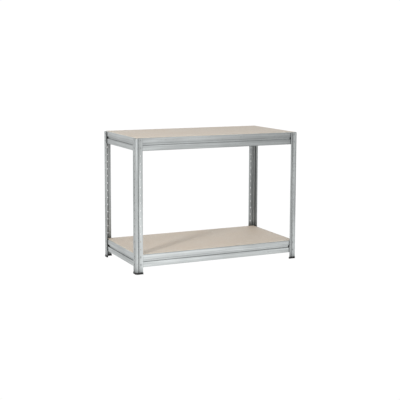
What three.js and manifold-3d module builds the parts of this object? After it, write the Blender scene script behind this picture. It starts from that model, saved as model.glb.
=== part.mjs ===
// Potting bench: a boltless galvanised frame with two chipboard shelves.
// Millimetres, +X along the length, +Y to the back, +Z up.
// The origin is the centre of the footprint, on the floor.

import * as THREE from 'three';
import { mergeVertices } from 'three/addons/utils/BufferGeometryUtils.js';
import Module from 'manifold-3d';

const wasm = await Module();
wasm.setup();

// ---- driving dimensions ----------------------------------------------------

const LENGTH = 1200;          // over the outer faces of the posts
const DEPTH = 612;            // over the outer faces of the posts
const POST_TOP = 888;         // floor to the top of a post
const LOW_BEAM_BOTTOM = 45;   // floor to the underside of the low shelf's beams
const HOLE_PITCH = 50.8;      // keyhole spacing up a post
const LEVEL_PITCHES = 15;     // keyhole pitches between the two levels
const CLEARANCE = 0.3;        // gap left between pieces that touch

const POST = {
  leg: 48.5,                  // width of each leg
  sheet: 1.8,
  cornerRadius: 12,
  cornerSteps: 6,
  grooveDepth: 2.6,
  grooveFlank: 2.5,           // width of each sloping side of a groove
  grooveOnA: 14.5,            // corner to the start of leg A's groove
  grooveOnB: 28,              // corner to the start of leg B's groove
  floorOnA: 3,                // width of the flat at the bottom of each groove
  floorOnB: 6,
  holeOnA: 33,                // corner to the keyhole row of leg A
  holeOnB: 24,                // corner to the keyhole row of leg B
};

const KEYHOLE = {
  entryRadius: 2.9,           // round hole that a stud's head passes through
  slotHalf: 1.7,              // half width of the slot that holds the stud's neck
  drop: 5.8,                  // entry centre down to the seat centre
  entrySteps: 6,
  seatSteps: 4,
  count: 17,
};

const BEAM = {
  sheet: 1.5,
  bendRadius: 2,              // outer radius of the bend along the bottom
  bendSteps: 2,
  setBack: 4.7,               // outer face of the posts to the outer face of the web
  endGap: 14,                 // corner of the frame to the end of the beam
  height: 84,
  beadWidth: 8,               // rolled edge along the top
  beadSteps: 6,
  ledge: 69,                  // underside of the beam to the ledge the board lies on
  ledgeReach: 22,
  lipDrop: 6,
  flangeReach: 16,
  flangeLip: 8,
  grooveBottom: 34,
  grooveTop: 51,
  grooveDepth: 6,
  grooveFlank: 2.5,
  notchStart: 8.05,           // depth beyond which the ends are cut away
  notchLength: 13.5,
  studHeights: [15, 65.8],
};

const STUD = {
  neckRadius: 1.35,
  headRadius: 2.6,
  headThickness: 1.6,
  clenchRadius: 2.4,
  clenchThickness: 1.2,
  boreRadius: 1.7,
  sides: 8,
};

const BOARD = {
  thickness: 16,
  edgeGap: 1,                 // board edge to the bead around it
  chamfer: 0.8,
};

const FOOT = {
  height: 12,
  base: 3,
  outerWall: 2.5,
  innerWall: 2.5,
  slotDepth: 5.1,             // outer face of the post to the inner side of the slot
  endWall: 3,
  innerSteps: 4,
  outerSteps: 6,
};

const OVERSHOOT = 1;          // how far a cutter runs past the faces it cuts
const WELD_TOLERANCE = 1e-4;  // vertices closer than this are one vertex

// ---- materials -------------------------------------------------------------

const steel = () => new THREE.MeshStandardMaterial({ color: 0xb9c0c1, roughness: 0.42, metalness: 0.85 });
const studSteel = () => new THREE.MeshStandardMaterial({ color: 0xc6cccc, roughness: 0.35, metalness: 0.9 });
const chipboard = () => new THREE.MeshStandardMaterial({ color: 0xc8b9a6, roughness: 0.8, metalness: 0 });
const blackPlastic = () => new THREE.MeshStandardMaterial({ color: 0x1b1c1e, roughness: 0.55, metalness: 0 });

// ---- helpers ---------------------------------------------------------------

function toSolid(geometry) {
  const bare = geometry.clone();
  bare.deleteAttribute('normal');
  bare.deleteAttribute('uv');
  const merged = mergeVertices(bare, WELD_TOLERANCE);
  return new wasm.Manifold(new wasm.Mesh({
    numProp: 3,
    vertProperties: new Float32Array(merged.attributes.position.array),
    triVerts: new Uint32Array(merged.index.array),
  }));
}

function toGeometry(solid) {
  const mesh = solid.getMesh();
  const geometry = new THREE.BufferGeometry();
  geometry.setAttribute('position', new THREE.BufferAttribute(new Float32Array(mesh.vertProperties), 3));
  geometry.setIndex(new THREE.BufferAttribute(new Uint32Array(mesh.triVerts), 1));
  geometry.computeVertexNormals();
  return geometry;
}

function boxSolid(low, high) {
  const size = high.map((value, i) => value - low[i]);
  const geometry = new THREE.BoxGeometry(...size);
  geometry.translate(...low.map((value, i) => value + size[i] / 2));
  return toSolid(geometry);
}

function prism(outline, height) {
  return new THREE.ExtrudeGeometry(new THREE.Shape(outline), { depth: height, bevelEnabled: false });
}

function point(x, y) {
  return new THREE.Vector2(x, y);
}

// Points of an arc about (x, y), from one angle to another, in degrees.
function arc(x, y, radius, from, to, steps) {
  const points = [];
  for (let i = 0; i <= steps; i += 1) {
    const angle = THREE.MathUtils.degToRad(from + ((to - from) * i) / steps);
    points.push(point(x + radius * Math.cos(angle), y + radius * Math.sin(angle)));
  }
  return points;
}

// Closed outline of a bent sheet: the path is one face and the sheet lies to its right.
function sheetOutline(path, thickness) {
  const directions = path.slice(1).map((end, i) => end.clone().sub(path[i]).normalize());
  const rightOf = (direction) => point(direction.y, -direction.x);
  const offset = path.map((corner, i) => {
    const before = rightOf(directions[Math.max(i - 1, 0)]);
    const after = rightOf(directions[Math.min(i, directions.length - 1)]);
    const mitre = before.clone().add(after).normalize();
    return corner.clone().addScaledVector(mitre, thickness / mitre.dot(after));
  });
  return [...path, ...offset.reverse()];
}

// ---- post ------------------------------------------------------------------

// A groove as seen along a leg: distance from the corner and depth from the face.
function postGroove(start, floor) {
  const end = start + 2 * POST.grooveFlank + floor;
  return [
    [start, 0],
    [start + POST.grooveFlank, POST.grooveDepth],
    [end - POST.grooveFlank, POST.grooveDepth],
    [end, 0],
  ];
}

function postOutline() {
  const r = POST.cornerRadius;
  const legA = postGroove(POST.grooveOnA, POST.floorOnA).map(([along, deep]) => point(along, deep)).reverse();
  const legB = postGroove(POST.grooveOnB, POST.floorOnB).map(([along, deep]) => point(deep, along));
  const corner = arc(r, r, r, 270, 180, POST.cornerSteps);
  const path = [point(POST.leg, 0), ...legA, ...corner, ...legB, point(0, POST.leg)];
  return sheetOutline(path, POST.sheet);
}

// Keyhole: a round entry with a slot below it, centred on the seat.
function keyholeOutline() {
  const { entryRadius, slotHalf, drop, entrySteps, seatSteps } = KEYHOLE;
  const meet = THREE.MathUtils.radToDeg(Math.acos(slotHalf / entryRadius));
  const entry = arc(0, drop, entryRadius, -meet, 180 + meet, entrySteps);
  const seat = arc(0, 0, slotHalf, 180, 360, seatSteps);
  return [...entry, ...seat];
}

function seatHeights() {
  const lowest = LOW_BEAM_BOTTOM + BEAM.studHeights[0];
  return Array.from({ length: KEYHOLE.count }, (_, i) => lowest + i * HOLE_PITCH);
}

function makePostGeometry() {
  const body = prism(postOutline(), POST_TOP - FOOT.base);
  body.translate(0, 0, FOOT.base);
  let solid = toSolid(body);
  const reach = POST.sheet + 2 * OVERSHOOT;
  for (const seat of seatHeights()) {
    const onLegA = prism(keyholeOutline(), reach);
    onLegA.rotateX(Math.PI / 2);
    onLegA.translate(POST.holeOnA, POST.sheet + OVERSHOOT, seat);
    solid = solid.subtract(toSolid(onLegA));
    const onLegB = prism(keyholeOutline(), reach);
    onLegB.rotateX(Math.PI / 2);
    onLegB.rotateZ(Math.PI / 2);
    onLegB.translate(-OVERSHOOT, POST.holeOnB, seat);
    solid = solid.subtract(toSolid(onLegB));
  }
  return toGeometry(solid);
}

// ---- beam ------------------------------------------------------------------

// Section of a beam: x is the depth behind the web's face, y is the height.
function beamOutline() {
  const b = BEAM;
  const bend = b.bendRadius;
  const beadRadius = b.beadWidth / 2;
  const beadCentre = b.height - beadRadius;
  const path = [
    point(b.flangeReach, b.flangeLip),
    point(b.flangeReach, 0),
    ...arc(bend, bend, bend, 270, 180, b.bendSteps),
    point(0, b.grooveBottom),
    point(b.grooveDepth, b.grooveBottom + b.grooveFlank),
    point(b.grooveDepth, b.grooveTop - b.grooveFlank),
    point(0, b.grooveTop),
    ...arc(beadRadius, beadCentre, beadRadius, 180, 0, b.beadSteps),
    point(b.beadWidth, b.ledge),
    point(b.ledgeReach, b.ledge),
    point(b.ledgeReach, b.ledge - b.lipDrop),
  ];
  return sheetOutline(path, b.sheet);
}

// A beam lies along +X between two corners of the frame, with its web facing -Y.
function makeBeamGeometry(span) {
  const b = BEAM;
  const length = span - 2 * b.endGap;
  const body = prism(beamOutline(), length);
  body.rotateX(Math.PI / 2);
  body.rotateZ(Math.PI / 2);
  body.translate(b.endGap, b.setBack, 0);
  let solid = toSolid(body);
  const notchFrom = b.setBack + b.notchStart;
  const notchTo = b.setBack + b.ledgeReach + OVERSHOOT;
  for (const end of [b.endGap, span - b.endGap - b.notchLength]) {
    const low = [end - OVERSHOOT, notchFrom, -OVERSHOOT];
    const high = [end + b.notchLength + OVERSHOOT, notchTo, b.height + OVERSHOOT];
    solid = solid.subtract(boxSolid(low, high));
  }
  const boreLength = b.sheet + 2 * OVERSHOOT;
  for (const x of studPositions(span)) {
    for (const z of b.studHeights) {
      const bore = new THREE.CylinderGeometry(STUD.boreRadius, STUD.boreRadius, boreLength, STUD.sides);
      bore.translate(x, b.setBack + b.sheet / 2, z);
      solid = solid.subtract(toSolid(bore));
    }
  }
  return toGeometry(solid);
}

function studPositions(span) {
  return [POST.holeOnA, span - POST.holeOnB];
}

// ---- stud ------------------------------------------------------------------

// A stud turned about its own axis: clenched behind the web, headed outside the post.
function makeStudGeometry() {
  const s = STUD;
  const headInner = CLEARANCE;
  const headOuter = headInner + s.headThickness;
  const clenchOuter = -(BEAM.setBack + BEAM.sheet + CLEARANCE);
  const clenchInner = clenchOuter - s.clenchThickness;
  const profile = [
    point(0, clenchInner),
    point(s.clenchRadius, clenchInner),
    point(s.clenchRadius, clenchOuter),
    point(s.neckRadius, clenchOuter),
    point(s.neckRadius, headInner),
    point(s.headRadius, headInner),
    point(s.headRadius, headOuter),
    point(0, headOuter),
  ];
  const geometry = new THREE.LatheGeometry(profile, s.sides);
  geometry.rotateX(Math.PI);
  return toGeometry(toSolid(geometry));
}

// ---- board -----------------------------------------------------------------

function makeBoardGeometry() {
  const inset = BEAM.setBack + BEAM.beadWidth + BOARD.edgeGap;
  const width = LENGTH - 2 * inset;
  const depth = DEPTH - 2 * inset;
  const c = BOARD.chamfer;
  const outline = [
    point(-width / 2 + c, -depth / 2 + c),
    point(width / 2 - c, -depth / 2 + c),
    point(width / 2 - c, depth / 2 - c),
    point(-width / 2 + c, depth / 2 - c),
  ];
  const geometry = new THREE.ExtrudeGeometry(new THREE.Shape(outline), {
    depth: BOARD.thickness - 2 * c,
    bevelEnabled: true,
    bevelThickness: c,
    bevelSize: c,
    bevelSegments: 1,
  });
  geometry.translate(0, 0, c);
  return toGeometry(toSolid(geometry));
}

// ---- foot ------------------------------------------------------------------

// Right-angled outline that follows a post: from one depth outside or inside its face
// to another, and out to a distance from the corner along both legs.
function angleOutline(outer, inner, end) {
  const centre = POST.cornerRadius;
  return [
    point(end, outer),
    point(end, inner),
    ...arc(centre, centre, centre - inner, 270, 180, FOOT.innerSteps),
    point(inner, end),
    point(outer, end),
    ...arc(centre, centre, centre - outer, 180, 270, FOOT.outerSteps),
  ];
}

function makeFootGeometry() {
  const f = FOOT;
  const slotEnd = POST.leg + CLEARANCE;
  const outside = angleOutline(-f.outerWall, f.slotDepth + f.innerWall, slotEnd + f.endWall);
  const body = toSolid(prism(outside, f.height));
  const slot = prism(angleOutline(-CLEARANCE, f.slotDepth, slotEnd), f.height);
  slot.translate(0, 0, f.base - CLEARANCE);
  return toGeometry(body.subtract(toSolid(slot)));
}

// ---- assembly --------------------------------------------------------------

const bench = new THREE.Group();
const postGeometry = makePostGeometry();
const footGeometry = makeFootGeometry();
const studGeometry = makeStudGeometry();
const boardGeometry = makeBoardGeometry();
const beamGeometries = { [LENGTH]: makeBeamGeometry(LENGTH), [DEPTH]: makeBeamGeometry(DEPTH) };

function addMesh(parent, name, geometry, material, position = [0, 0, 0]) {
  const mesh = new THREE.Mesh(geometry, material);
  mesh.name = name;
  mesh.position.set(...position);
  parent.add(mesh);
}

// The frame looks the same from every side, so each side is one turned group:
// a post and its foot at the side's first corner, and a beam to the next corner.
const SIDES = [
  { side: 'front', corner: 'front_left', at: [-LENGTH / 2, -DEPTH / 2], span: LENGTH },
  { side: 'right', corner: 'front_right', at: [LENGTH / 2, -DEPTH / 2], span: DEPTH },
  { side: 'back', corner: 'back_right', at: [LENGTH / 2, DEPTH / 2], span: LENGTH },
  { side: 'left', corner: 'back_left', at: [-LENGTH / 2, DEPTH / 2], span: DEPTH },
];

const LEVELS = [
  { level: 'shelf', bottom: LOW_BEAM_BOTTOM },
  { level: 'top', bottom: LOW_BEAM_BOTTOM + LEVEL_PITCHES * HOLE_PITCH },
];

SIDES.forEach(({ side, corner, at, span }, turn) => {
  const quarter = new THREE.Group();
  quarter.position.set(...at, 0);
  quarter.rotation.z = (turn * Math.PI) / 2;
  bench.add(quarter);
  addMesh(quarter, `${corner}_post`, postGeometry, steel());
  addMesh(quarter, `${corner}_foot`, footGeometry, blackPlastic());
  for (const { level, bottom } of LEVELS) {
    addMesh(quarter, `${level}_${side}_beam`, beamGeometries[span], steel(), [0, 0, bottom]);
    studPositions(span).forEach((x, end) => {
      BEAM.studHeights.forEach((height, row) => {
        const name = `${level}_${side}_stud_${'ab'[end]}${row + 1}`;
        addMesh(quarter, name, studGeometry, studSteel(), [x, 0, bottom + height]);
      });
    });
  }
});

for (const { level, bottom } of LEVELS) {
  const height = bottom + BEAM.ledge + CLEARANCE;
  addMesh(bench, `${level}_board`, boardGeometry, chipboard(), [0, 0, height]);
}

export default bench;
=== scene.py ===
"""Looks of the potting bench: galvanised posts and beams, chipboard boards and black plastic feet.

Everything is in metres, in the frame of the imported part: +X along the length, +Y to the back, +Z up.
"""

import math

import bmesh
import bpy
from mathutils import Matrix, Vector, noise


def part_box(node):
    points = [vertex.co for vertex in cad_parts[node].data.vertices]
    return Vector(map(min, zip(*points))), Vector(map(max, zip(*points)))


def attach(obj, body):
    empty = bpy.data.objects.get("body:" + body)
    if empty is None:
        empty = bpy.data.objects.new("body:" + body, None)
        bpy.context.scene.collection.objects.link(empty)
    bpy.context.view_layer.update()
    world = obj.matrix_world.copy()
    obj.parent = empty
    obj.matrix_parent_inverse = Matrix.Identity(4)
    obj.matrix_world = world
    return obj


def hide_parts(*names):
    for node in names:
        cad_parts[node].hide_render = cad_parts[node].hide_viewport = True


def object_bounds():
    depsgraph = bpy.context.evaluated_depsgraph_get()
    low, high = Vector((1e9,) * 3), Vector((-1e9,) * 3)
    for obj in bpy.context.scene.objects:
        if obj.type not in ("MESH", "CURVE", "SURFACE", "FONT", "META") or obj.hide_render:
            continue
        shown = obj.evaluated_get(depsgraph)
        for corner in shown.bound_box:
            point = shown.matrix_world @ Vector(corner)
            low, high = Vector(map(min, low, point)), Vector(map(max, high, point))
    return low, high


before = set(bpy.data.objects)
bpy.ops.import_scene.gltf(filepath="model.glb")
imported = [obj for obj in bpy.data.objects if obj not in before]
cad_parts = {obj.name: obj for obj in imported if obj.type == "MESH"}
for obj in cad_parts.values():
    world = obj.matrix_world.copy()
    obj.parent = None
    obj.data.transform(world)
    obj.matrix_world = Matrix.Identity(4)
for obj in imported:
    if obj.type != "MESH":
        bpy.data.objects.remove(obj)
CAD_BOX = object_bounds()

MM = 0.001

# ---- camera, at the front left and half a metre above the worktop ----
CAMERA_AT = (-2.712, -5.769, 1.444)
CAMERA_YAW = 25.17        # degrees from +Y towards +X
CAMERA_PITCH = 6.49       # degrees below the horizon
CAMERA_ROLL = 0.20
SENSOR = 36.0             # millimetres, and so is the lens
LENS = 82.7
SHIFT_Y = -0.11
CAMERA_REACH = 200.0

# ---- studio: brightness of the surroundings, where 1 is white ----
ROUND_SIDES = 96          # of the floor and of the bowl of cards
FLOOR_RADIUS = 60.0
FLOOR_DROP = 0.2 * MM     # keeps the feet's undersides clear of the floor
FLOOR_WHITE = 1.02
SKY_LOW = 1.04
SKY_OVERHEAD = 0.55
SKY_FADE = (0.3, 0.7)     # sines of the heights above the horizon between which it darkens
# Softboxes: size and distance in metres, power in watts, angles in degrees
LIGHTS = {
    "key": {
        "size": 0.4, "power": 75.0, "azimuth": 31.9, "elevation": 29.0, "distance": 4.5, "in_gloss": True,
    },
    "fill": {
        "size": 3.0, "power": 95.0, "azimuth": 75.0, "elevation": 20.0, "distance": 4.5, "in_gloss": False,
    },
}
# Cards all round, which only show in the gloss of the steel: radius and height of their bowl
CARDS = (
    (0.2, 0.0005), (0.75, 0.001), (2.0, 0.002), (3.6, 0.02), (5.6, 0.10), (6.9, 0.40), (7.4, 1.20),
    (7.6, 2.60), (7.7, 3.60),
)
CARD_FADE = (1.6, 3.6)    # radii between which the near cards give way to the far ones
# Brightness of the far cards: all round, and what each lobe adds to it
CARD_FAR = {"all": 0.72, "front": 0.26, "back": 0.45, "right": -0.50}
CARD_NEAR = 0.77
CARD_NEAR_FRONT = (0.59, 0.27)   # more in front of the bench: at its left and at its right
CARD_NEAR_SPAN = (-0.4, 0.9)     # the X of those two places
CARD_NEAR_START = (-0.3, -0.5)   # the Y between which that addition fades in
# The way that each lobe faces, and the cosines between which it fades in
CARD_LOBES = {
    "front": ((0.174, -0.985, 0.0), 0.90, 0.985),
    "back": ((0.420, 0.907, 0.0), 0.65, 0.95),
    "right": ((0.966, -0.259, 0.0), 0.60, 0.80),
}

# ---- materials: brightness between 0 and 1, texture scales in cells to the metre ----
NOISE_SPAN = (0.3, 0.7)   # where most values of a noise texture lie
ZINC_RED = 0.955          # red as a share of green and blue
STREAKS = {"across": 420.0, "along": 5.0, "detail": 4.0, "depth": 0.03 * MM}
WAVES = {"across": 70.0, "along": 2.2, "detail": 1.0, "depth": 2.0 * MM, "span": (0.42, 0.60)}
SPANGLE = {"scale": 150.0, "share": 0.2, "rough": 0.02}
CLOUDS = {"scale": 9.0, "share": 0.3, "span": (0.35, 0.7)}
# The darkest grey, 0.14, is painted shade, laid where other surfaces stand close and in grooves
ZINC = {"dark": 0.42, "light": 0.52, "wave": 0.70, "spangle": 0.60, "cloud": 0.42, "painted_shade": 0.14}
ROUGH_SPREAD = 0.04       # how far the streaks move the roughness either way
# How far a surface looks round for its neighbours, and the openness between which painted shade darkens it
PAINTED_SHADE_WIDE = {"reach": 55.0 * MM, "span": (0.45, 0.97)}
PAINTED_SHADE_GROOVES = {"reach": 6.0 * MM, "span": (0.72, 0.99)}
SHADE_SAMPLES = 8
# The axis that each sheet was rolled along, its roughness, how strongly the waves show, and how much
# painted shade darkens it where other surfaces stand close and in its grooves
SHEETS = {
    "up": {"rolled_along": 2, "rough": 0.46, "wavy": 0.85, "painted_shade_wide_share": 0.85, "painted_shade_groove_share": 1.00},
    "long": {"rolled_along": 0, "rough": 0.32, "wavy": 0.60, "painted_shade_wide_share": 0.32, "painted_shade_groove_share": 0.22},
    "short": {"rolled_along": 1, "rough": 0.34, "wavy": 0.60, "painted_shade_wide_share": 0.45, "painted_shade_groove_share": 0.15},
}
STUD_GRAIN = {"scale": 900.0, "tones": (0.62, 0.74), "rough": (0.26, 0.38), "depth": 0.05 * MM}
FLAKES = {"scale": (260.0, 330.0, 420.0), "depth": 0.10 * MM}
FINE_FLAKES = {"scale": 900.0, "span": (0.45, 1.0), "share": 0.55}
PATCHES = {"scale": 7.0, "span": (0.35, 0.65), "share": 0.45}
DUST = {"scale": 1400.0, "detail": 2.0, "rough": (0.52, 0.66), "depth": 0.08 * MM}
CHIPBOARD = {
    "face": {
        "light": (0.60, 0.535, 0.46, 1), "dark": (0.44, 0.375, 0.30, 1),
        "pale": (0.72, 0.67, 0.60, 1), "warm": (0.54, 0.45, 0.36, 1),
    },
    "edge": {
        "light": (0.76, 0.71, 0.60, 1), "dark": (0.56, 0.50, 0.40, 1),
        "pale": (0.84, 0.80, 0.72, 1), "warm": (0.68, 0.60, 0.48, 1),
    },
}
PLASTIC = {"tones": (0.006, 0.026), "grain": 1600.0, "detail": 2.0, "rough": (0.42, 0.58), "depth": 0.06 * MM}
SCUFFS = {"scale": (60.0, 60.0, 300.0), "detail": 4.0, "span": (0.52, 0.75), "share": 0.7}

# ---- pieces ----
ARC_MIDDLE = 0.3          # how far in the middle of a rounded edge lies, in radii
SHEET_EDGE = {
    "radius": 0.25 * MM,      # rounding of the cut edges
    "steps": 2,
    "sharp": 40.0,            # degrees between two faces from which their edge is rounded
    "flat": 0.5,              # degrees up to which two faces count as one
    "weld": 0.01 * MM,
}
BOARD = {
    "arris": 0.9 * MM,        # rounding of the long edges
    "arris_steps": 3,
    "corner": 2.0 * MM,
    "corner_steps": 4,
    "spacing": 12.0 * MM,     # between points along an edge
    "wear": 0.5 * MM,         # how far the worn edges wander inwards
    "wear_scale": 55.0,       # waves of that wandering to the metre
    "level": 0.7,             # a face whose normal's Z is above this isn't an edge
}
STUD = {
    "sides": 24,
    "neck": 1.35 * MM,        # radius of the neck in the keyhole's slot
    "head": 1.6 * MM,         # thickness
    "dome": 0.6,              # share of that thickness taken by the dome
    "clench": 1.2 * MM,       # thickness
    "clench_step": 0.2 * MM,  # how much smaller its radius is than the head's
    "dome_steps": 6,
    "round": 0.35 * MM,
    "point": 0.001 * MM,      # a ring smaller than this is a single point
}
FOOT = {
    "base": 2.7 * MM,         # floor to the sheet metal standing in the slot
    "rim": 3.4 * MM,          # height of the flange that spreads along the floor
    "draft": 0.9 * MM,        # how much the wall's top leans in
    "draft_low": 0.54 * MM,   # how much it leans in just above the flange
    "end_wall": 3.0 * MM,     # past the slot's ends
    "inside": 7.6 * MM,       # outer face of the post to the foot's inner face
    "slot": 5.1 * MM,         # outer face of the post to the slot's inner side
    "gap": 0.3 * MM,
    "radius": 12.0 * MM,      # of the post's corner
    "turn_steps": 8,
    "edge": 0.6 * MM,
    "end_radius": 3.2 * MM,
    "slot_radius": 0.3 * MM,
    "end_steps": 5,
    "arc_gap": 0.01 * MM,     # keeps the two arcs at an end from meeting
}
POST_LEG = 48.5 * MM
CORNERS = ("front_left", "front_right", "back_right", "back_left")
OUTWARD = {"front": (0, -1, 0), "right": (1, 0, 0), "back": (0, 1, 0), "left": (-1, 0, 0)}
LEVELS = ("shelf", "top")
STUD_MARKS = ("a1", "a2", "b1", "b2")

# Places of the colour sockets on a Mix node, which come after its number and vector ones
MIX_A = 6
MIX_B = 7
MIX_RESULT = 2


# ---- node helpers ----------------------------------------------------------

class Shader:
    """A material's node tree with short calls for the nodes used here."""

    def __init__(self, name):
        self.material = bpy.data.materials.new(name)
        self.material.use_nodes = True
        self.use_tree(self.material.node_tree, "Object")
        self.surface = self.tree.nodes["Principled BSDF"]

    @classmethod
    def of_tree(cls, tree, coordinates):
        """The same calls for a tree that isn't a material's."""
        shader = cls.__new__(cls)
        shader.use_tree(tree, coordinates)
        return shader

    def use_tree(self, tree, coordinates):
        self.tree = tree
        self.place = tree.nodes.new("ShaderNodeTexCoord").outputs[coordinates]

    def add(self, kind, settings=None, **inputs):
        node = self.tree.nodes.new(kind)
        for key, value in (settings or {}).items():
            setattr(node, key, value)
        for key, value in inputs.items():
            self.feed(node.inputs[key.replace("_", " ")], value)
        return node

    def feed(self, socket, value):
        if isinstance(value, bpy.types.NodeSocket):
            self.tree.links.new(value, socket)
        else:
            socket.default_value = value

    def stretched(self, scale):
        """The frame's coordinates, stretched by a scale on each axis."""
        node = self.add("ShaderNodeMapping", Vector=self.place)
        node.inputs["Scale"].default_value = scale
        return node.outputs["Vector"]

    def noise(self, vector, scale=1.0, detail=3.0):
        return self.add("ShaderNodeTexNoise", Vector=vector, Scale=scale, Detail=detail).outputs["Fac"]

    def cells(self, vector, scale=1.0):
        """A random number from 0 to 1 for each cell."""
        colour = self.add("ShaderNodeTexVoronoi", Vector=vector, Scale=scale).outputs["Color"]
        return self.add("ShaderNodeSeparateColor", Color=colour).outputs["Red"]

    def openness(self, reach):
        """1 on an open surface, and less the more stands within reach of it."""
        node = self.add("ShaderNodeAmbientOcclusion", {"samples": SHADE_SAMPLES}, Distance=reach)
        return node.outputs["AO"]

    def spread(self, value, low, high, to_low=0.0, to_high=1.0):
        """Maps a range of values to another one, held at its ends."""
        node = self.add("ShaderNodeMapRange", Value=value)
        for key, number in (("From Min", low), ("From Max", high), ("To Min", to_low), ("To Max", to_high)):
            node.inputs[key].default_value = number
        return node.outputs["Result"]

    def maths(self, operation, a, b):
        node = self.add("ShaderNodeMath", {"operation": operation})
        self.feed(node.inputs[0], a)
        self.feed(node.inputs[1], b)
        return node.outputs["Value"]

    def vector_maths(self, operation, a, b=None):
        node = self.add("ShaderNodeVectorMath", {"operation": operation})
        self.feed(node.inputs[0], a)
        if b is not None:
            self.feed(node.inputs[1], b)
        single = operation in ("DOT_PRODUCT", "LENGTH")
        return node.outputs["Value" if single else "Vector"]

    def mix(self, factor, a, b):
        """Colour a where the factor is 0 and b where it is 1."""
        node = self.add("ShaderNodeMix", {"data_type": "RGBA"})
        self.feed(node.inputs["Factor"], factor)
        self.feed(node.inputs[MIX_A], a)
        self.feed(node.inputs[MIX_B], b)
        return node.outputs[MIX_RESULT]

    def bump(self, height, depth, under=None):
        node = self.add("ShaderNodeBump", Height=height, Distance=depth, Strength=1.0)
        if under is not None:
            self.feed(node.inputs["Normal"], under)
        return node.outputs["Normal"]

    def finish(self, **inputs):
        for key, value in inputs.items():
            self.feed(self.surface.inputs[key.replace("_", " ")], value)
        return self.material


def grey_colour(value, red=1.0):
    return (value * red, value, value, 1.0)


def zinc(value):
    """A slightly cool grey."""
    return grey_colour(value, ZINC_RED)


def along_axis(axis, across, along):
    """A scale that is the same both ways across an axis, and its own along it."""
    scale = [across, across, across]
    scale[axis] = along
    return scale


# ---- materials -------------------------------------------------------------

def sheet_steel(name, rolled_along, rough, wavy, painted_shade_wide_share, painted_shade_groove_share):
    """Galvanised sheet: faint spangle, streaks along the way it was rolled, and painted shade where other
    surfaces stand close and in grooves.
    """
    s = Shader(name)
    streaks = s.noise(
        s.stretched(along_axis(rolled_along, STREAKS["across"], STREAKS["along"])),
        detail=STREAKS["detail"],
    )
    waves = s.noise(
        s.stretched(along_axis(rolled_along, WAVES["across"], WAVES["along"])),
        detail=WAVES["detail"],
    )
    spangle = s.cells(s.place, SPANGLE["scale"])
    clouds = s.noise(s.place, CLOUDS["scale"])
    wide_openness = s.openness(PAINTED_SHADE_WIDE["reach"])
    groove_openness = s.openness(PAINTED_SHADE_GROOVES["reach"])

    wave_share = s.spread(waves, *WAVES["span"], 0.5 - wavy / 2, 0.5 + wavy / 2)
    spangle_share = s.spread(spangle, 0.0, 1.0, 0.0, SPANGLE["share"])
    cloud_share = s.spread(clouds, *CLOUDS["span"], 0.0, CLOUDS["share"])
    tone = s.mix(s.spread(streaks, *NOISE_SPAN), zinc(ZINC["dark"]), zinc(ZINC["light"]))
    tone = s.mix(wave_share, tone, zinc(ZINC["wave"]))
    tone = s.mix(spangle_share, tone, zinc(ZINC["spangle"]))
    tone = s.mix(cloud_share, tone, zinc(ZINC["cloud"]))
    # Painted shade: a darker grey where other surfaces stand close, and in grooves and corners
    tone = s.mix(s.spread(wide_openness, *PAINTED_SHADE_WIDE["span"], painted_shade_wide_share, 0.0), tone, zinc(ZINC["painted_shade"]))
    tone = s.mix(s.spread(groove_openness, *PAINTED_SHADE_GROOVES["span"], painted_shade_groove_share, 0.0), tone, zinc(ZINC["painted_shade"]))

    grain = s.spread(streaks, *NOISE_SPAN, rough - ROUGH_SPREAD, rough + ROUGH_SPREAD)
    facets = s.spread(spangle, 0.0, 1.0, -SPANGLE["rough"], SPANGLE["rough"])
    relief = s.bump(waves, WAVES["depth"])
    relief = s.bump(streaks, STREAKS["depth"], under=relief)
    return s.finish(Base_Color=tone, Metallic=1.0, Roughness=s.maths("ADD", grain, facets), Normal=relief)


def turned_steel():
    """Zinc-plated studs, brighter than the sheet."""
    s = Shader("stud_steel")
    grain = s.noise(s.place, STUD_GRAIN["scale"])
    low, high = STUD_GRAIN["tones"]
    return s.finish(
        Base_Color=s.mix(grain, zinc(low), zinc(high)),
        Metallic=1.0,
        Roughness=s.spread(grain, *NOISE_SPAN, *STUD_GRAIN["rough"]),
        Normal=s.bump(grain, STUD_GRAIN["depth"]),
    )


def chipboard(name, light, dark, pale, warm):
    """Sanded chipboard: pressed flakes of several tones."""
    s = Shader(name)
    flakes = s.cells(s.stretched(FLAKES["scale"]))
    fine = s.cells(s.place, FINE_FLAKES["scale"])
    patches = s.noise(s.place, PATCHES["scale"])
    dust = s.noise(s.place, DUST["scale"], DUST["detail"])
    tone = s.mix(flakes, dark, light)
    tone = s.mix(s.spread(fine, *FINE_FLAKES["span"], 0.0, FINE_FLAKES["share"]), tone, pale)
    tone = s.mix(s.spread(patches, *PATCHES["span"], 0.0, PATCHES["share"]), tone, warm)
    relief = s.bump(flakes, FLAKES["depth"])
    relief = s.bump(dust, DUST["depth"], under=relief)
    return s.finish(Base_Color=tone, Roughness=s.spread(dust, *NOISE_SPAN, *DUST["rough"]), Normal=relief)


def moulded_plastic():
    """Black moulded plastic with a fine matt grain, a little scuffed."""
    s = Shader("black_plastic")
    grain = s.noise(s.place, PLASTIC["grain"], PLASTIC["detail"])
    scuffs = s.noise(s.stretched(SCUFFS["scale"]), detail=SCUFFS["detail"])
    worn = s.spread(scuffs, *SCUFFS["span"], 0.0, SCUFFS["share"])
    clean, scuffed = PLASTIC["tones"]
    return s.finish(
        Base_Color=s.mix(worn, grey_colour(clean), grey_colour(scuffed)),
        Roughness=s.spread(grain, *NOISE_SPAN, *PLASTIC["rough"]),
        Normal=s.bump(grain, PLASTIC["depth"]),
    )


def paint(piece, material):
    piece.data.materials.clear()
    piece.data.materials.append(material)


# ---- studio ----------------------------------------------------------------

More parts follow.
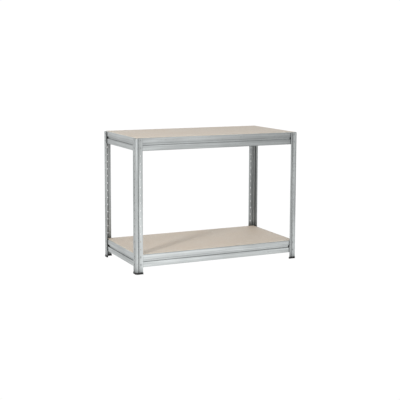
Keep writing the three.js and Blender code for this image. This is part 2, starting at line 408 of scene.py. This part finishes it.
def make_camera():
    data = bpy.data.cameras.new("camera")
    data.sensor_width = SENSOR
    data.lens = LENS
    data.shift_y = SHIFT_Y
    data.clip_end = CAMERA_REACH
    camera = bpy.data.objects.new("camera", data)
    yaw, pitch, roll = (math.radians(a) for a in (CAMERA_YAW, CAMERA_PITCH, CAMERA_ROLL))
    level = Matrix.Rotation(-yaw, 4, "Z") @ Matrix.Rotation(math.pi / 2 - pitch, 4, "X")
    camera.matrix_world = Matrix.Translation(CAMERA_AT) @ level @ Matrix.Rotation(roll, 4, "Z")
    bpy.context.scene.collection.objects.link(camera)
    bpy.context.scene.camera = camera


def add_stage(name, mesh, material):
    data = bpy.data.meshes.new(name)
    mesh.to_mesh(data)
    mesh.free()
    thing = bpy.data.objects.new(name, data)
    bpy.context.scene.collection.objects.link(thing)
    paint(thing, material)
    return thing


def glowing(s, strength):
    """A surface that only gives light."""
    return s.finish(
        Base_Color=grey_colour(0.0),
        Roughness=1.0,
        Specular_IOR_Level=0.0,
        Emission_Color=grey_colour(1.0),
        Emission_Strength=strength,
    )


def make_floor():
    """A plain white floor that glows, so that it shows no edge against the backdrop."""
    mesh = bmesh.new()
    bmesh.ops.create_circle(mesh, cap_ends=True, radius=FLOOR_RADIUS, segments=ROUND_SIDES)
    floor = add_stage("floor", mesh, glowing(Shader("floor"), FLOOR_WHITE))
    floor.location.z = -FLOOR_DROP


def make_cards():
    """A bowl of grey and white cards round the bench, seen only in glossy reflections."""
    s = Shader("cards")
    flat = s.vector_maths("MULTIPLY", s.place, (1.0, 1.0, 0.0))
    way = s.vector_maths("NORMALIZE", flat)
    lobes = {}
    for name, (toward, low, high) in CARD_LOBES.items():
        lobes[name] = s.spread(s.vector_maths("DOT_PRODUCT", way, toward), low, high)

    far_level = CARD_FAR["all"]
    for name, lobe in lobes.items():
        far_level = s.maths("ADD", s.maths("MULTIPLY", lobe, CARD_FAR[name]), far_level)
    split = s.add("ShaderNodeSeparateXYZ", Vector=s.place)
    along = s.spread(split.outputs["X"], *CARD_NEAR_SPAN, *CARD_NEAR_FRONT)
    in_front = s.spread(split.outputs["Y"], *CARD_NEAR_START)
    near_level = s.maths("ADD", s.maths("MULTIPLY", along, in_front), CARD_NEAR)
    far = s.spread(s.vector_maths("LENGTH", flat), *CARD_FADE)
    step = s.maths("MULTIPLY", s.maths("SUBTRACT", far_level, near_level), far)
    material = glowing(s, s.maths("ADD", near_level, step))

    mesh = bmesh.new()
    rows = []
    for radius, height in CARDS:
        row = []
        for i in range(ROUND_SIDES):
            angle = 2 * math.pi * i / ROUND_SIDES
            row.append(mesh.verts.new((radius * math.cos(angle), radius * math.sin(angle), height)))
        rows.append(row)
    for lower, upper in zip(rows, rows[1:]):
        ring_faces(mesh, lower, upper)
    cards = add_stage("cards", mesh, material)
    cards.visible_camera = False
    cards.visible_diffuse = False
    cards.visible_transmission = False
    cards.visible_volume_scatter = False
    cards.visible_shadow = False


def make_world():
    """A plain white studio, a little darker overhead."""
    world = bpy.data.worlds.new("studio")
    world.use_nodes = True
    bpy.context.scene.world = world
    s = Shader.of_tree(world.node_tree, "Generated")
    height = s.add("ShaderNodeSeparateXYZ", Vector=s.place).outputs["Z"]
    background = world.node_tree.nodes["Background"]
    background.inputs["Color"].default_value = grey_colour(1.0)
    s.feed(background.inputs["Strength"], s.spread(height, *SKY_FADE, SKY_LOW, SKY_OVERHEAD))


def make_light(name, size, power, azimuth, elevation, distance, in_gloss):
    """A square softbox. Azimuth 0 is on the left, at -X, and 90 in front, at -Y."""
    data = bpy.data.lights.new(name, "AREA")
    data.size = size
    data.energy = power
    light = bpy.data.objects.new(name, data)
    a, e = math.radians(azimuth), math.radians(elevation)
    out = Vector((-math.cos(a) * math.cos(e), -math.sin(a) * math.cos(e), math.sin(e)))
    low, high = CAD_BOX
    light.location = (low + high) / 2 + out * distance
    light.rotation_euler = (-out).to_track_quat("-Z", "Y").to_euler()
    light.visible_glossy = in_gloss
    bpy.context.scene.collection.objects.link(light)


# ---- pieces ----------------------------------------------------------------

def add_piece(name, mesh, node, material):
    """Makes a mesh into the piece that stands for a CAD node."""
    data = bpy.data.meshes.new(name)
    bmesh.ops.recalc_face_normals(mesh, faces=mesh.faces)
    mesh.to_mesh(data)
    mesh.free()
    piece = bpy.data.objects.new(name, data)
    bpy.context.scene.collection.objects.link(piece)
    data.shade_smooth()
    paint(piece, material)
    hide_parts(node)
    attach(piece, "root")
    return piece


def finish_sheet(node, material):
    """A post or beam keeps its CAD shape, with its cut edges rounded and its flat faces kept flat."""
    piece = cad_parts[node]
    paint(piece, material)
    weld = piece.modifiers.new("weld", "WELD")
    weld.merge_threshold = SHEET_EDGE["weld"]
    flat = piece.modifiers.new("flat", "DECIMATE")
    flat.decimate_type = "DISSOLVE"
    flat.angle_limit = math.radians(SHEET_EDGE["flat"])
    bevel = piece.modifiers.new("bevel", "BEVEL")
    bevel.width = SHEET_EDGE["radius"]
    bevel.segments = SHEET_EDGE["steps"]
    bevel.limit_method = "ANGLE"
    bevel.angle_limit = math.radians(SHEET_EDGE["sharp"])
    bevel.harden_normals = True


def ring_faces(mesh, lower, upper):
    """Joins two closed rows of points, one above the other."""
    for i in range(len(lower)):
        j = (i + 1) % len(lower)
        mesh.faces.new((lower[i], lower[j], upper[j], upper[i]))


def fan(mesh, tip, row):
    """Joins a closed row of points to a single one."""
    for i in range(len(row)):
        mesh.faces.new((tip, row[i], row[(i + 1) % len(row)]))


def rounded_rectangle(width, depth, radius, steps, spacing):
    """Points round a rectangle with rounded corners, each with the way that faces out of it."""
    points = []
    for quarter in range(4):
        turn = Matrix.Rotation(quarter * math.pi / 2, 2)
        across, along = (width, depth) if quarter % 2 == 0 else (depth, width)
        straight = along - 2 * radius
        centre = Vector((across / 2 - radius, -along / 2 + radius))
        for i in range(steps + 1):
            angle = -math.pi / 2 + i * math.pi / 2 / steps
            out = Vector((math.cos(angle), math.sin(angle)))
            points.append((turn @ (centre + radius * out), turn @ out))
        count = max(1, round(straight / spacing))
        for i in range(1, count):
            place = Vector((across / 2, -along / 2 + radius + straight * i / count))
            points.append((turn @ place, turn @ Vector((1.0, 0.0))))
    return points


def make_board(node):
    """A chipboard panel whose arrises are rounded and a little worn."""
    low, high = (Vector(corner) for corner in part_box(node))
    centre, size = (low + high) / 2, high - low
    b = BOARD
    arris, steps = b["arris"], b["arris_steps"]
    outline = rounded_rectangle(size.x, size.y, b["corner"], b["corner_steps"], b["spacing"])
    profile = []
    for i in range(steps + 1):
        angle = math.pi / 2 * i / steps
        profile.append((arris * (1 - math.sin(angle)), arris * (1 - math.cos(angle))))
    heights = [(inset, low.z + rise) for inset, rise in profile]
    heights += [(inset, high.z - rise) for inset, rise in reversed(profile)]
    mesh = bmesh.new()
    rows = []
    for inset, z in heights:
        row = []
        for place, out in outline:
            at = Vector((centre.x + place.x, centre.y + place.y, z))
            worn = b["wear"] * (1 + noise.noise(at * b["wear_scale"])) / 2
            shift = inset * (1 + worn / arris)
            row.append(mesh.verts.new((at.x - out.x * shift, at.y - out.y * shift, z)))
        rows.append(row)
    for lower, upper in zip(rows, rows[1:]):
        ring_faces(mesh, lower, upper)
    mesh.faces.new(rows[0][::-1])
    mesh.faces.new(rows[-1])
    piece = add_piece(f"{node}_panel", mesh, node, board_face)
    piece.data.materials.append(board_edge)
    for face in piece.data.polygons:
        face.material_index = 0 if abs(face.normal.z) > b["level"] else 1
        face.use_smooth = len(face.vertices) == 4


def stud_profile(length, head_radius, clench_radius):
    """Radius and place along a stud's axis, from the clenched end at 0 to the domed head."""
    s = STUD
    r = s["round"]
    dome = s["dome"] * s["head"]
    points = [
        (0.0, 0.0),
        (clench_radius - r, 0.0),
        (clench_radius, r),
        (clench_radius, s["clench"] - r / 2),
        (clench_radius - r / 2, s["clench"]),
        (s["neck"] + r / 2, s["clench"]),
        (s["neck"], s["clench"] + r / 2),
        (s["neck"], length - s["head"]),
        (head_radius - r / 3, length - s["head"]),
        (head_radius, length - s["head"] + r / 3),
        (head_radius, length - dome),
    ]
    for i in range(1, s["dome_steps"] + 1):
        angle = math.pi / 2 * i / s["dome_steps"]
        points.append((head_radius * math.cos(angle), length - dome + dome * math.sin(angle)))
    return points


def make_stud(node, side):
    """A riveted stud: a domed head outside the post and a clenched end behind the beam."""
    low, high = (Vector(corner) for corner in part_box(node))
    centre, size = (low + high) / 2, high - low
    out = Vector(OUTWARD[side])
    length = abs(size.dot(out))
    head_radius = size.z / 2
    start = centre - out * length / 2
    across = Vector((0, 0, 1)).cross(out)
    sides = STUD["sides"]
    mesh = bmesh.new()
    rows = []
    for radius, along in stud_profile(length, head_radius, head_radius - STUD["clench_step"]):
        if radius < STUD["point"]:
            rows.append([mesh.verts.new(start + out * along)])
            continue
        row = []
        for i in range(sides):
            angle = 2 * math.pi * i / sides
            turned = across * math.cos(angle) * radius + Vector((0, 0, math.sin(angle) * radius))
            row.append(mesh.verts.new(start + out * along + turned))
        rows.append(row)
    for lower, upper in zip(rows, rows[1:]):
        if len(lower) == 1:
            fan(mesh, lower[0], upper)
        elif len(upper) == 1:
            fan(mesh, upper[0], lower)
        else:
            ring_faces(mesh, lower, upper)
    add_piece(f"{node}_turned", mesh, node, stud_material)


def angle_outline(outer, inner, end, end_radius, shrink=0.0):
    """A right-angled band round a post's corner, between two depths from the post's faces.

    Depths run inwards from the faces. The band's ends are rounded, and it can be shrunk all round.
    """
    f = FOOT
    outer, inner, end = outer + shrink, inner - shrink, end - shrink
    tip = min(end_radius, (inner - outer) / 2 - f["arc_gap"])
    bend = f["radius"]
    points = []

    def add_arc(x, y, radius, first, last, steps):
        for i in range(steps + 1):
            angle = math.radians(first + (last - first) * i / steps)
            points.append((x + radius * math.cos(angle), y + radius * math.sin(angle)))

    add_arc(end - tip, outer + tip, tip, -90, 0, f["end_steps"])
    add_arc(end - tip, inner - tip, tip, 0, 90, f["end_steps"])
    add_arc(bend, bend, bend - inner, 270, 180, f["turn_steps"])
    add_arc(inner - tip, end - tip, tip, 0, 90, f["end_steps"])
    add_arc(outer + tip, end - tip, tip, 90, 180, f["end_steps"])
    add_arc(bend, bend, bend - outer, 180, 270, f["turn_steps"])
    return points


def foot_levels(height):
    """Height above the floor, and how far the foot's outline is shrunk there."""
    edge, rim, draft = FOOT["edge"], FOOT["rim"], FOOT["draft"]
    middle = edge * ARC_MIDDLE
    return (
        (0.0, edge),
        (middle, middle),
        (edge, 0.0),
        (rim - edge, 0.0),
        (rim - middle, middle),
        (rim, edge),
        (rim + edge, FOOT["draft_low"]),
        (height - edge, draft),
        (height - middle, draft + middle),
        (height, draft + edge),
    )


def make_foot(corner, turns):
    """A push-on cap: a flange along the floor, a wall that leans in, and the post's slot in its top."""
    node = f"{corner}_foot"
    low, high = (Vector(c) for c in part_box(node))
    f = FOOT
    height = high.z - low.z
    slot_end = POST_LEG + f["gap"]
    end = slot_end + f["end_wall"]
    outward = high.x - low.x - end      # how far the foot reaches beyond the post's faces
    on_left, at_front = turns in (0, 3), turns in (0, 1)
    corner_at = Vector((
        low.x + outward if on_left else high.x - outward,
        low.y + outward if at_front else high.y - outward,
    ))
    turned = Matrix.Rotation(turns * math.pi / 2, 2)
    mesh = bmesh.new()

    def row(outline, z):
        placed = (corner_at + turned @ Vector(point) for point in outline)
        return [mesh.verts.new((at.x, at.y, low.z + z)) for at in placed]

    rows = []
    for z, shrink in foot_levels(height):
        rows.append(row(angle_outline(-outward, f["inside"], end, f["end_radius"], shrink), z))
    mouth = angle_outline(-f["gap"], f["slot"], slot_end, f["slot_radius"])
    rows.append(row(mouth, height))
    rows.append(row(mouth, f["base"]))
    for lower, upper in zip(rows, rows[1:]):
        ring_faces(mesh, lower, upper)
    mesh.faces.new(rows[0][::-1])
    mesh.faces.new(rows[-1])
    add_piece(f"{node}_cap", mesh, node, plastic)


# ---- the bench -------------------------------------------------------------

sheet = {name: sheet_steel(f"sheet_steel_{name}", **look) for name, look in SHEETS.items()}
stud_material = turned_steel()
plastic = moulded_plastic()
board_face = chipboard("chipboard_face", **CHIPBOARD["face"])
board_edge = chipboard("chipboard_edge", **CHIPBOARD["edge"])

make_camera()
make_floor()
make_cards()
make_world()
for name, lamp in LIGHTS.items():
    make_light(name, **lamp)
bpy.context.scene.view_settings.view_transform = "Standard"

for turns, corner in enumerate(CORNERS):
    finish_sheet(f"{corner}_post", sheet["up"])
    make_foot(corner, turns)
for level in LEVELS:
    for side in OUTWARD:
        finish_sheet(f"{level}_{side}_beam", sheet["long" if side in ("front", "back") else "short"])
        for mark in STUD_MARKS:
            make_stud(f"{level}_{side}_stud_{mark}", side)
    make_board(f"{level}_board")
